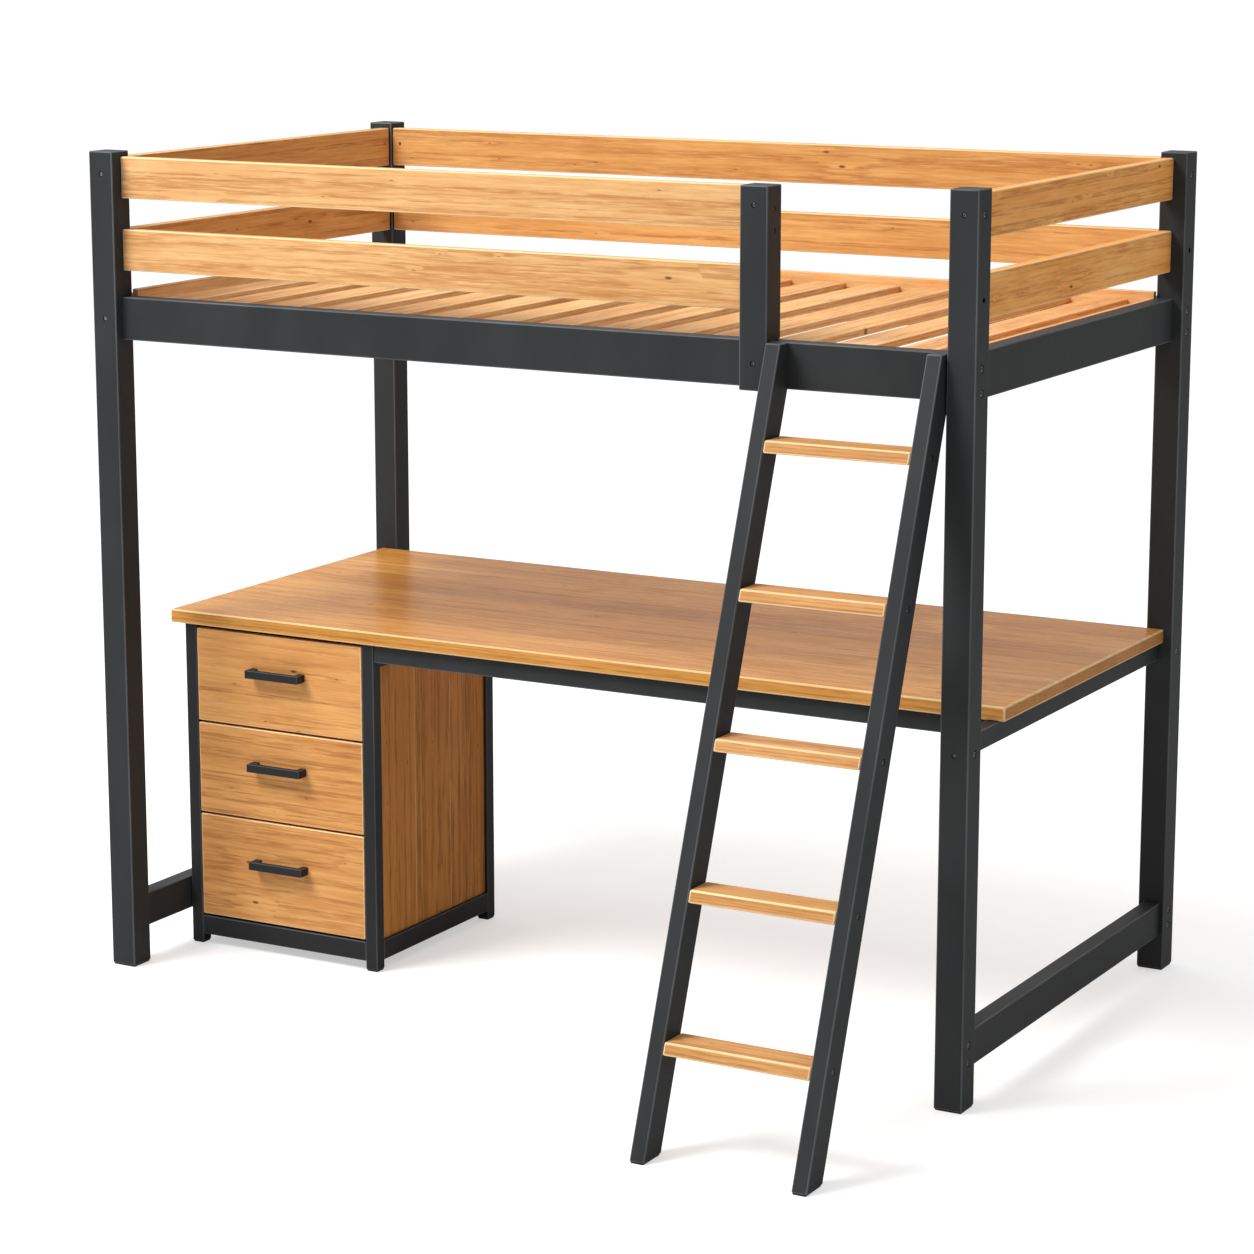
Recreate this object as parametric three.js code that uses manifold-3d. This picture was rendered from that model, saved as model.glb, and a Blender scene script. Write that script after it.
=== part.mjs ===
// Loft bed with a full-length desk and a three-drawer pedestal under it.
// Millimetres, +Z up. X runs along the bed, the ladder and the drawers face -Y,
// and the origin is on the floor under the middle of the overall box.
import * as THREE from "three";
import { ConvexGeometry } from "three/addons/geometries/ConvexGeometry.js";
import { mergeVertices } from "three/addons/utils/BufferGeometryUtils.js";
import Module from "manifold-3d";

const wasm = await Module();
wasm.setup();

// ---- overall size ----
const BED_LENGTH = 2060; // over the posts
const BED_WIDTH = 1150; // over the posts
const POST_HEIGHT = 1800;
const POST = 60; // square post section

// ---- fits ----
const FIT = 0.3; // gap where two fixed pieces meet
const SLIDE = 1.5; // side clearance of a drawer box between its runners
const REVEAL = 5; // visible gap between two drawer fronts
const EASE = 2; // chamfer on sawn edges
const FINE_EASE = 0.8; // chamfer on small and steel pieces

// ---- bed frame ----
const RAIL_HEIGHT = 92; // rails that carry the slats
const RAIL_THICK = 38; // its inner face is flush with the inner faces of the posts
const GUARD_HEIGHT = 88;
const GUARD_THICK = 24;
const GUARD_SET_BACK = 30; // from the outer face of the posts
const GUARD_DROP = 12; // upper tier under the post tops
const GUARD_TIER_GAP = 66; // between the two tiers
const GUARD_RAIL_GAP = 56; // between the lower tier and the rail
const ENTRY_WIDTH = 380; // way in between the guard post and the right post
const GUARD_POST_RISE = 2; // above the upper tier
const GUARD_POST_DROP = 5; // below the rail

// ---- slatted base ----
const SLAT_COUNT = 14;
const SLAT_WIDTH = 78;
const SLAT_THICK = 16;
const SLAT_SUNK = 4; // slat tops under the rail top
const SLAT_END_GAP = 42; // from an end liner to the nearest slat
const LINER_THICK = 16; // boards lining the rear and the two ends
const LINER_RISE = 14; // rear and left liners, above the rail top
const RIGHT_LINER_SUNK = 2; // right liner, under the rail top
const LEDGER_THICK = 25;
const LEDGER_HEIGHT = 40;
const LEDGER_LAP = 3; // how far the rear ledger runs into the liner it is glued to

// ---- stretchers near the floor ----
const STRETCHER_BOTTOM = 78;
const STRETCHER_HEIGHT = 75;
const STRETCHER_THICK = 38;
const STRETCHER_SET_BACK = 10;

// ---- desk ----
const DESK_HEIGHT = 770;
const DESK_THICK = 30;
const DESK_END_SET_BACK = 20; // at each end, from the outer faces of the posts
const DESK_FRONT = 220; // front edge behind the outer face of the front posts
const APRON_HEIGHT = 40;
const APRON_THICK = 30;
const APRON_FRONT_SET_BACK = 14; // under the front edge of the desk
const APRON_END_SET_BACK = 12; // under the right edge of the desk

// ---- ladder ----
const LADDER_REACH = 553; // toes of the stringers in front of the bed
const STRINGER_WIDTH = 32;
const STRINGER_DEPTH = 68; // measured level, front to back
const LADDER_SIDE_GAP = 4; // to the guard post and to the right post
const TREAD_COUNT = 5;
const TREAD_FIRST = 220; // top of the lowest tread
const TREAD_HEAD_GAP = 178; // from the highest tread to the rail top
const TREAD_THICK = 24;

// ---- pedestal ----
const PEDESTAL_WIDTH = 500;
const PEDESTAL_DEPTH = 500;
const PEDESTAL_SIDE_GAP = 4; // to the left stretcher
const PEDESTAL_FRONT_SET_BACK = 10; // under the front edge of the desk
const TUBE = 30; // square tube of the welded frame
const BASE_RAIL_BOTTOM = 22;
const BASE_RAIL_HEIGHT = 44;
const SIDE_TOP_RAIL = 55; // height of the upper side rails
const BACK_TOP_RAIL = 30;
const PANEL_THICK = 12;
const PANEL_SET_BACK = 8; // from the outer face of the frame
const FRONT_RAIL_DEPTH = 12; // flat bar behind the top drawer front
const FRONT_RAIL_HEIGHT = 24;

// ---- drawers ----
const DRAWER_NAMES = ["bottom", "middle", "top"];
const BOTTOM_FRONT_HEIGHT = 234;
const MIDDLE_FRONT_HEIGHT = 206;
const FRONT_TOP_GAP = 8; // shadow gap under the desk
const FRONT_THICK = 18;
const BOX_WALL = 12;
const BOX_FLOOR = 6;
const BOX_FLOOR_RISE = 6; // underside of the floor above the lower edge of the walls
const BOX_DEPTH = 430;
const BOX_RISE = 22; // underside of the box above the lower edge of its front
const BOX_TOP_GAP = 32; // rim of the box under the upper edge of its front
const RUNNER_WIDTH = 18; // ledge the box rides on
const RUNNER_THICK = 3;
const RUNNER_WEB = 28; // upright leg of the runner angle
const RUN_GAP = 0.5; // between box and runner

// ---- handles ----
const HANDLE_LENGTH = 140;
const HANDLE_HEIGHT = 18;
const HANDLE_DEPTH = 13;
const HANDLE_STAND_OFF = 17; // clear finger space behind the bar
const HANDLE_FOOT = 15;
const HANDLE_RISE = 20; // above the middle of its drawer front

// ---- planes that follow from the sizes above ----
const xRight = BED_LENGTH / 2;
const xLeft = -xRight;
const yRear = BED_WIDTH / 2;
const yFront = -yRear;
const railSetBack = POST - RAIL_THICK;
const upperGuardTop = POST_HEIGHT - GUARD_DROP;
const lowerGuardTop = upperGuardTop - GUARD_HEIGHT - GUARD_TIER_GAP;
const railTop = lowerGuardTop - GUARD_HEIGHT - GUARD_RAIL_GAP;
const railBottom = railTop - RAIL_HEIGHT;
const slatTop = railTop - SLAT_SUNK;
const slatBottom = slatTop - SLAT_THICK;
const linerTop = railTop + LINER_RISE;
const rightLinerTop = railTop - RIGHT_LINER_SUNK;
const deskBottom = DESK_HEIGHT - DESK_THICK;
const pedestalTop = deskBottom - FIT;
const deskFront = yFront + DESK_FRONT;
const guardPostRight = xRight - POST - ENTRY_WIDTH;
const guardPostLeft = guardPostRight - POST;

const group = new THREE.Group();
group.name = "loft_bed_with_desk";

const FINISHES = {
  frame_paint: { color: 0x3c3e41, roughness: 0.5, metalness: 0 },
  light_wood: { color: 0xdba56c, roughness: 0.55, metalness: 0 },
  desk_wood: { color: 0xc38c5a, roughness: 0.5, metalness: 0 },
  panel_wood: { color: 0x99683c, roughness: 0.6, metalness: 0 },
  box_wood: { color: 0xe2c79c, roughness: 0.65, metalness: 0 },
  steel_paint: { color: 0x2e3032, roughness: 0.45, metalness: 0.2 },
};

function place(name, geometry, finish) {
  const mesh = new THREE.Mesh(geometry, new THREE.MeshStandardMaterial(FINISHES[finish]));
  mesh.name = name;
  group.add(mesh);
}

// Moves a corner of the profile along its edge towards the next corner.
function towards(corner, next, step) {
  const length = Math.hypot(next[0] - corner[0], next[1] - corner[1]);
  return [((next[0] - corner[0]) * step) / length, ((next[1] - corner[1]) * step) / length];
}

// A bar with a convex profile of [y, z] corners, running from x0 to x1, every edge chamfered.
function easedBar(profile, x0, x1, ease) {
  const points = [];
  profile.forEach((corner, i) => {
    const before = profile[(i + profile.length - 1) % profile.length];
    const after = profile[(i + 1) % profile.length];
    const a = towards(corner, before, ease);
    const b = towards(corner, after, ease);
    for (const x of [x0 + ease, x1 - ease]) {
      points.push(new THREE.Vector3(x, corner[0] + a[0], corner[1] + a[1]));
      points.push(new THREE.Vector3(x, corner[0] + b[0], corner[1] + b[1]));
    }
    for (const x of [x0, x1]) {
      points.push(new THREE.Vector3(x, corner[0] + a[0] + b[0], corner[1] + a[1] + b[1]));
    }
  });
  return new ConvexGeometry(points);
}

function easedBlock([x0, x1], [y0, y1], [z0, z1], ease = EASE) {
  const profile = [
    [y0, z0],
    [y1, z0],
    [y1, z1],
    [y0, z1],
  ];
  return easedBar(profile, x0, x1, ease);
}

// ---- joining and cutting ----
function toSolid(geometry) {
  const bare = new THREE.BufferGeometry();
  bare.setAttribute("position", geometry.getAttribute("position"));
  const merged = mergeVertices(bare, 1e-3);
  return new wasm.Manifold(
    new wasm.Mesh({
      numProp: 3,
      vertProperties: merged.attributes.position.array,
      triVerts: new Uint32Array(merged.index.array),
    }),
  );
}

function toGeometry(solid) {
  const mesh = solid.getMesh();
  const geometry = new THREE.BufferGeometry();
  geometry.setAttribute("position", new THREE.BufferAttribute(mesh.vertProperties, 3));
  geometry.setIndex(new THREE.BufferAttribute(mesh.triVerts, 1));
  geometry.computeVertexNormals();
  return geometry;
}

function joined(blocks) {
  return toGeometry(blocks.map(toSolid).reduce((whole, next) => whole.add(next)));
}

function cut(block, tool) {
  return toGeometry(toSolid(block).subtract(toSolid(tool)));
}

// The spans of a piece at the left or at the right end, set back from the outer faces.
function endSpan(side, setBack, thick) {
  const outer = side * (xRight - setBack);
  const inner = side * (xRight - setBack - thick);
  return [Math.min(outer, inner), Math.max(outer, inner)];
}

function depthSpan(side, setBack, thick) {
  const outer = side * (yRear - setBack);
  const inner = side * (yRear - setBack - thick);
  return [Math.min(outer, inner), Math.max(outer, inner)];
}

const ENDS = [
  ["left", -1],
  ["right", 1],
];
const SIDES = [
  ["front", -1],
  ["rear", 1],
];
const betweenPostsX = [xLeft + POST + FIT, xRight - POST - FIT];
const betweenPostsY = [yFront + POST + FIT, yRear - POST - FIT];

// ---- posts ----
for (const [sideName, side] of SIDES) {
  for (const [endName, end] of ENDS) {
    const post = easedBlock(endSpan(end, 0, POST), depthSpan(side, 0, POST), [0, POST_HEIGHT]);
    place(`post_${sideName}_${endName}`, post, "frame_paint");
  }
}

// ---- rails that carry the slats ----
for (const [sideName, side] of SIDES) {
  const rail = easedBlock(betweenPostsX, depthSpan(side, railSetBack, RAIL_THICK), [railBottom, railTop]);
  place(`side_rail_${sideName}`, rail, "frame_paint");
}
for (const [endName, end] of ENDS) {
  const rail = easedBlock(endSpan(end, railSetBack, RAIL_THICK), betweenPostsY, [railBottom, railTop]);
  place(`end_rail_${endName}`, rail, "frame_paint");
}

// ---- short guard post beside the way in, lapped over the front rail ----
const lapDepth = railSetBack - FIT;
const guardPostBlock = easedBlock(
  [guardPostLeft, guardPostRight],
  depthSpan(-1, 0, POST),
  [railBottom - GUARD_POST_DROP, upperGuardTop + GUARD_POST_RISE],
);
const guardPostLap = easedBlock(
  [guardPostLeft - POST, guardPostRight + POST],
  [yFront + lapDepth, yFront + 2 * POST],
  [railBottom - POST, railTop + FIT],
  FINE_EASE,
);
place("guard_post", cut(guardPostBlock, guardPostLap), "frame_paint");

// ---- guard rails ----
const GUARD_TIERS = [
  ["lower", lowerGuardTop],
  ["upper", upperGuardTop],
];
for (const [tier, top] of GUARD_TIERS) {
  const height = [top - GUARD_HEIGHT, top];
  const frontY = depthSpan(-1, GUARD_SET_BACK, GUARD_THICK);
  const rearY = depthSpan(1, GUARD_SET_BACK, GUARD_THICK);
  const frontX = [betweenPostsX[0], guardPostLeft - FIT];
  place(`guard_rail_front_${tier}`, easedBlock(frontX, frontY, height), "light_wood");
  place(`guard_rail_rear_${tier}`, easedBlock(betweenPostsX, rearY, height), "light_wood");
  for (const [endName, end] of ENDS) {
    const rail = easedBlock(endSpan(end, GUARD_SET_BACK, GUARD_THICK), betweenPostsY, height);
    place(`guard_rail_${endName}_${tier}`, rail, "light_wood");
  }
}

// ---- liners and ledgers inside the rails ----
const insideX = xRight - POST - FIT;
const insideY = yRear - POST - FIT;
const linerZ = [railBottom, linerTop];
const ledgerZ = [slatBottom - FIT - LEDGER_HEIGHT, slatBottom - FIT];
const rearLinerFace = insideY - LINER_THICK;
const endLinerY = [-insideY, rearLinerFace - FIT];
const leftLiner = easedBlock(endSpan(-1, POST + FIT, LINER_THICK), endLinerY, linerZ);
place("liner_left", leftLiner, "light_wood");
const rightLinerX = endSpan(1, POST + FIT, LINER_THICK);
place("liner_right", easedBlock(rightLinerX, endLinerY, [railBottom, rightLinerTop]), "light_wood");
const ledgerX = insideX - LINER_THICK - FIT;
const frontLedgerY = [-insideY, -insideY + LEDGER_THICK];
place("slat_ledger_front", easedBlock([-ledgerX, ledgerX], frontLedgerY, ledgerZ), "light_wood");
const rearLiner = easedBlock([-insideX, insideX], [rearLinerFace, insideY], linerZ);
const rearLedgerY = [rearLinerFace - LEDGER_THICK, rearLinerFace + LEDGER_LAP];
const rearLedger = easedBlock([-ledgerX, ledgerX], rearLedgerY, ledgerZ, FINE_EASE);
place("slat_ledger_rear", joined([rearLiner, rearLedger]), "light_wood");

// ---- slats ----
const slatRun = 2 * (insideX - LINER_THICK - SLAT_END_GAP) - SLAT_WIDTH;
const slatPitch = slatRun / (SLAT_COUNT - 1);
const slatY = [-insideY + FIT, rearLinerFace - FIT];
for (let i = 0; i < SLAT_COUNT; i += 1) {
  const middle = (i - (SLAT_COUNT - 1) / 2) * slatPitch;
  const slatX = [middle - SLAT_WIDTH / 2, middle + SLAT_WIDTH / 2];
  const name = `slat_${String(i + 1).padStart(2, "0")}`;
  place(name, easedBlock(slatX, slatY, [slatBottom, slatTop]), "light_wood");
}

// ---- stretchers near the floor ----
for (const [endName, end] of ENDS) {
  const stretcherZ = [STRETCHER_BOTTOM, STRETCHER_BOTTOM + STRETCHER_HEIGHT];
  const stretcherX = endSpan(end, STRETCHER_SET_BACK, STRETCHER_THICK);
  place(`stretcher_${endName}`, easedBlock(stretcherX, betweenPostsY, stretcherZ), "frame_paint");
}

// ---- desk ----
const deskX = [xLeft + DESK_END_SET_BACK, xRight - DESK_END_SET_BACK];
const deskY = [deskFront, yRear - POST - FIT];
place("desk_top", easedBlock(deskX, deskY, [deskBottom, DESK_HEIGHT]), "desk_wood");
const apronZ = [pedestalTop - APRON_HEIGHT, pedestalTop];
const rightApronX = endSpan(1, DESK_END_SET_BACK + APRON_END_SET_BACK, APRON_THICK);
place("desk_apron_right", easedBlock(rightApronX, betweenPostsY, apronZ), "frame_paint");
const pedestalLeft = xLeft + STRETCHER_SET_BACK + STRETCHER_THICK + PEDESTAL_SIDE_GAP;
const pedestalRight = pedestalLeft + PEDESTAL_WIDTH;
const pedestalFront = deskFront + PEDESTAL_FRONT_SET_BACK;
const pedestalRear = pedestalFront + PEDESTAL_DEPTH;
const frontApronY = deskFront + APRON_FRONT_SET_BACK;
place(
  "desk_apron_front",
  easedBlock([pedestalRight + FIT, rightApronX[0] - FIT], [frontApronY, frontApronY + APRON_THICK], apronZ),
  "frame_paint",
);
place(
  "desk_apron_rear",
  easedBlock([deskX[0], rightApronX[0] - FIT], [deskY[1] - APRON_THICK, deskY[1]], apronZ),
  "frame_paint",
);

// ---- ladder ----
const toeFront = yFront - LADDER_REACH;
const railFace = yFront + railSetBack - FIT;
const lean = (railFace - toeFront - STRINGER_DEPTH) / railBottom;
const ladderFront = (z) => toeFront + lean * z;
const stringerProfile = [
  [toeFront, 0],
  [toeFront + STRINGER_DEPTH, 0],
  [railFace, railBottom],
  [railFace, railTop],
  [ladderFront(railTop), railTop],
];
const leftStringerX = guardPostRight + LADDER_SIDE_GAP;
const rightStringerX = xRight - POST - LADDER_SIDE_GAP - STRINGER_WIDTH;
place(
  "ladder_stringer_left",
  easedBar(stringerProfile, leftStringerX, leftStringerX + STRINGER_WIDTH, EASE),
  "frame_paint",
);
place(
  "ladder_stringer_right",
  easedBar(stringerProfile, rightStringerX, rightStringerX + STRINGER_WIDTH, EASE),
  "frame_paint",
);
const treadPitch = (railTop - TREAD_HEAD_GAP - TREAD_FIRST) / (TREAD_COUNT - 1);
for (let i = 0; i < TREAD_COUNT; i += 1) {
  const top = TREAD_FIRST + i * treadPitch;
  const bottom = top - TREAD_THICK;
  const treadProfile = [
    [ladderFront(bottom), bottom],
    [ladderFront(bottom) + STRINGER_DEPTH, bottom],
    [ladderFront(top) + STRINGER_DEPTH, top],
    [ladderFront(top), top],
  ];
  const tread = easedBar(treadProfile, leftStringerX + STRINGER_WIDTH + FIT, rightStringerX - FIT, EASE);
  place(`ladder_tread_${i + 1}`, tread, "light_wood");
}

// ---- pedestal: welded tube frame with its six drawer runners ----
const baseTop = BASE_RAIL_BOTTOM + BASE_RAIL_HEIGHT;
const legLeft = [pedestalLeft, pedestalLeft + TUBE];
const legRight = [pedestalRight - TUBE, pedestalRight];
const legFront = [pedestalFront, pedestalFront + TUBE];
const legRear = [pedestalRear - TUBE, pedestalRear];
const weld = TUBE / 2; // how far a rail runs into the leg it is welded to
const railSpanX = [legLeft[1] - weld, legRight[0] + weld];
const railSpanY = [legFront[1] - weld, legRear[0] + weld];
const baseZ = [BASE_RAIL_BOTTOM, baseTop];
const block = (x, y, z) => easedBlock(x, y, z, FINE_EASE);

const topFrontHeight =
  pedestalTop - FRONT_TOP_GAP - baseTop - REVEAL - BOTTOM_FRONT_HEIGHT - MIDDLE_FRONT_HEIGHT - 2 * REVEAL;
const frontHeights = [BOTTOM_FRONT_HEIGHT, MIDDLE_FRONT_HEIGHT, topFrontHeight];
const drawers = DRAWER_NAMES.map((name, i) => {
  const below = frontHeights.slice(0, i).reduce((sum, height) => sum + height + REVEAL, 0);
  const bottom = baseTop + REVEAL + below;
  return { name, bottom, top: bottom + frontHeights[i] };
});

const framePieces = [];
for (const x of [legLeft, legRight]) {
  for (const y of [legFront, legRear]) {
    framePieces.push(block(x, y, [0, pedestalTop]));
  }
  framePieces.push(block(x, railSpanY, baseZ));
  framePieces.push(block(x, railSpanY, [pedestalTop - SIDE_TOP_RAIL, pedestalTop]));
}
framePieces.push(block(railSpanX, legFront, baseZ));
framePieces.push(block(railSpanX, legRear, baseZ));
framePieces.push(block(railSpanX, legRear, [pedestalTop - BACK_TOP_RAIL, pedestalTop]));
const frontRailY = [legFront[1] - FRONT_RAIL_DEPTH + FIT, legFront[1]];
framePieces.push(block(railSpanX, frontRailY, [pedestalTop - FRONT_RAIL_HEIGHT, pedestalTop]));
const runnerY = [pedestalFront + FRONT_THICK + FIT, legRear[0] + weld];
for (const drawer of drawers) {
  const ledgeTop = drawer.bottom + BOX_RISE - RUN_GAP;
  const ledgeZ = [ledgeTop - RUNNER_THICK, ledgeTop];
  const webZ = [ledgeTop - RUNNER_THICK, ledgeTop - RUNNER_THICK + RUNNER_WEB];
  const overlap = RUNNER_THICK / 2; // into the leg
  framePieces.push(block([legLeft[1] - overlap, legLeft[1] + RUNNER_WIDTH], runnerY, ledgeZ));
  framePieces.push(block([legLeft[1] - overlap, legLeft[1] + RUNNER_THICK], runnerY, webZ));
  framePieces.push(block([legRight[0] - RUNNER_WIDTH, legRight[0] + overlap], runnerY, ledgeZ));
  framePieces.push(block([legRight[0] - RUNNER_THICK, legRight[0] + overlap], runnerY, webZ));
}
place("pedestal_frame", joined(framePieces), "steel_paint");

// ---- pedestal side panels ----
const panelY = [legFront[1] + FIT, legRear[0] - FIT];
const panelZ = [baseTop + FIT, pedestalTop - SIDE_TOP_RAIL - FIT];
const leftPanelX = [pedestalLeft + PANEL_SET_BACK, pedestalLeft + PANEL_SET_BACK + PANEL_THICK];
const rightPanelX = [pedestalRight - PANEL_SET_BACK - PANEL_THICK, pedestalRight - PANEL_SET_BACK];
place("pedestal_panel_left", block(leftPanelX, panelY, panelZ), "panel_wood");
place("pedestal_panel_right", block(rightPanelX, panelY, panelZ), "panel_wood");

// ---- drawers ----
const frontX = [legLeft[1] + SLIDE, legRight[0] - SLIDE];
const frontY = [pedestalFront, pedestalFront + FRONT_THICK];
const boxX = [legLeft[1] + RUNNER_THICK + SLIDE, legRight[0] - RUNNER_THICK - SLIDE];
const boxY = [frontY[1] + FIT, frontY[1] + FIT + BOX_DEPTH];
const handleMiddleX = (frontX[0] + frontX[1]) / 2;

function drawerBox(z) {
  const leftWall = block([boxX[0], boxX[0] + BOX_WALL], boxY, z);
  const rightWall = block([boxX[1] - BOX_WALL, boxX[1]], boxY, z);
  const innerX = [boxX[0] + BOX_WALL / 2, boxX[1] - BOX_WALL / 2];
  const frontWall = block(innerX, [boxY[0], boxY[0] + BOX_WALL], z);
  const rearWall = block(innerX, [boxY[1] - BOX_WALL, boxY[1]], z);
  const floorY = [boxY[0] + BOX_WALL / 2, boxY[1] - BOX_WALL / 2];
  const floorBottom = z[0] + BOX_FLOOR_RISE;
  const floor = block(innerX, floorY, [floorBottom, floorBottom + BOX_FLOOR]);
  return joined([leftWall, rightWall, frontWall, rearWall, floor]);
}

function drawerHandle(middleZ) {
  const z = [middleZ - HANDLE_HEIGHT / 2, middleZ + HANDLE_HEIGHT / 2];
  const x0 = handleMiddleX - HANDLE_LENGTH / 2;
  const x1 = handleMiddleX + HANDLE_LENGTH / 2;
  const barY = [frontY[0] - FIT - HANDLE_STAND_OFF - HANDLE_DEPTH, frontY[0] - FIT - HANDLE_STAND_OFF];
  const footY = [barY[0] + HANDLE_DEPTH / 2, frontY[0] - FIT];
  const bar = block([x0, x1], barY, z);
  const leftFoot = block([x0 + FIT, x0 + FIT + HANDLE_FOOT], footY, [z[0] + FIT, z[1] - FIT]);
  const rightFoot = block([x1 - FIT - HANDLE_FOOT, x1 - FIT], footY, [z[0] + FIT, z[1] - FIT]);
  return joined([bar, leftFoot, rightFoot]);
}

for (const drawer of drawers) {
  const front = easedBlock(frontX, frontY, [drawer.bottom, drawer.top]);
  const box = drawerBox([drawer.bottom + BOX_RISE, drawer.top - BOX_TOP_GAP]);
  place(`drawer_${drawer.name}_front`, front, "light_wood");
  place(`drawer_${drawer.name}_box`, box, "box_wood");
  const middle = (drawer.bottom + drawer.top) / 2 + HANDLE_RISE;
  place(`drawer_${drawer.name}_handle`, drawerHandle(middle), "steel_paint");
}

// ---- the whole bed stands centred over the origin, ladder included ----
const middle = new THREE.Box3().setFromObject(group).getCenter(new THREE.Vector3());
group.position.set(-middle.x, -middle.y, 0);

export default group;
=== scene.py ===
import itertools
import math

import bmesh
import bpy
from mathutils import Matrix, Vector


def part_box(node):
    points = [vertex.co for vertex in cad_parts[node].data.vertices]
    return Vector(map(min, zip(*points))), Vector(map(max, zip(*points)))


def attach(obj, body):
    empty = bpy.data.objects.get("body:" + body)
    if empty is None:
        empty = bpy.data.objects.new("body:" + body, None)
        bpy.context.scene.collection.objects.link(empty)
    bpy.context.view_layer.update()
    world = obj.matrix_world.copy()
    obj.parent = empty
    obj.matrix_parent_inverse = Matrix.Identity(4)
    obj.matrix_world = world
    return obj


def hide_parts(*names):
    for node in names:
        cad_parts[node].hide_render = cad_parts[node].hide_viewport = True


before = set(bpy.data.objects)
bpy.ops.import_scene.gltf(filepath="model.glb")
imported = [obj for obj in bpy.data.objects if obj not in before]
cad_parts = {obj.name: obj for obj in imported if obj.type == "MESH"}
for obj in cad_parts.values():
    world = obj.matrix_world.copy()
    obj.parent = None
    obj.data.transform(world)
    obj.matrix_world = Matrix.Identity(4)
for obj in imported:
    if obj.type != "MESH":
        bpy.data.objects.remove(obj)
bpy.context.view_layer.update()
scene = bpy.context.scene

X, Y, Z = Vector((1, 0, 0)), Vector((0, 1, 0)), Vector((0, 0, 1))

# ---- camera: stands in front, to the right of the ladder, and looks slightly down ----
CAMERA_PLACE = (3.7019, -6.4231, 2.3483)
CAMERA_TURN = math.radians(29.18)
CAMERA_TILT = math.radians(11.68)
CAMERA_LENS = 102.66
CAMERA_SENSOR = 36
CAMERA_REACH = 60

camera = bpy.data.objects.new("camera", bpy.data.cameras.new("camera"))
camera.location = CAMERA_PLACE
camera.rotation_euler = (math.pi / 2 - CAMERA_TILT, 0, CAMERA_TURN)
camera.data.sensor_width = CAMERA_SENSOR
camera.data.lens = CAMERA_LENS
camera.data.clip_end = CAMERA_REACH
scene.collection.objects.link(camera)
scene.camera = camera
scene.view_settings.view_transform = "Standard"


# ---- shader nodes ----
def tone(red, green, blue):
    """A colour given as a paint chart does, 0 to 255, turned into the numbers a shader takes."""
    mixed = []
    for part in (red / 255, green / 255, blue / 255):
        mixed.append(part / 12.92 if part <= 0.04045 else ((part + 0.055) / 1.055) ** 2.4)
    return (*mixed, 1)


class Recipe:
    """The nodes of one material or group, added and linked one after another."""

    def __init__(self, tree):
        self.tree = tree

    def feed(self, socket, value):
        if isinstance(value, bpy.types.NodeSocket):
            self.tree.links.new(value, socket)
        else:
            socket.default_value = value

    def add(self, kind, inputs=None, **settings):
        node = self.tree.nodes.new("ShaderNode" + kind)
        for key, value in settings.items():
            setattr(node, key, value)
        for key, value in (inputs or {}).items():
            self.feed(node.inputs[key], value)
        return node

    def math(self, operation, *values):
        node = self.add("Math", operation=operation)
        for socket, value in zip(node.inputs, values):
            self.feed(socket, value)
        return node.outputs[0]

    def stretch(self, vector, amounts):
        return self.add("VectorMath", {0: vector, 1: amounts}, operation="MULTIPLY").outputs[0]

    def noise(self, vector, amounts, detail=2.0, roughness=0.5):
        """Noise from 0 to 1; the amounts say how fine it is along each direction of the vector."""
        scaled = self.stretch(vector, amounts)
        inputs = {"Vector": scaled, "Scale": 1.0, "Detail": detail, "Roughness": roughness}
        return self.add("TexNoise", inputs).outputs[0]

    def cells(self, vector, amounts):
        """Points scattered over the face: the distance to the nearest, and that point's own draws."""
        inputs = {"Vector": self.stretch(vector, amounts), "Scale": 1.0}
        node = self.add("TexVoronoi", inputs, voronoi_dimensions="2D")
        draws = self.add("SeparateColor", {0: node.outputs["Color"]})
        return node.outputs["Distance"], draws.outputs

    def spread(self, value, low, high, to_low=0.0, to_high=1.0):
        """A smooth step from to_low to to_high, as the value goes from low to high."""
        inputs = {"Value": value, "From Min": low, "From Max": high, "To Min": to_low, "To Max": to_high}
        return self.add("MapRange", inputs, interpolation_type="SMOOTHSTEP").outputs[0]

    def blend(self, share, first, second):
        node = self.add("Mix", data_type="RGBA", blend_type="MIX")
        self.feed(node.inputs[0], share)
        self.feed(node.inputs[6], first)
        self.feed(node.inputs[7], second)
        return node.outputs[2]

    def ramp(self, value, stops):
        node = self.add("ValToRGB", {0: value})
        points = node.color_ramp.elements
        while len(points) < len(stops):
            points.new(0.5)
        for point, (place, colour) in zip(points, stops):
            point.position = place
            point.color = colour
        return node.outputs[0]

    def attribute(self, name):
        return self.add("Attribute", attribute_name=name).outputs["Fac"]


# knots and pin knots to the metre, along the board, across it and through it
KNOTS = (3.1, 8, 1)
PIN_KNOTS = (6.5, 26, 1)
RING_PITCH = 0.0078
PITH_DEPTH = 0.05


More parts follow.
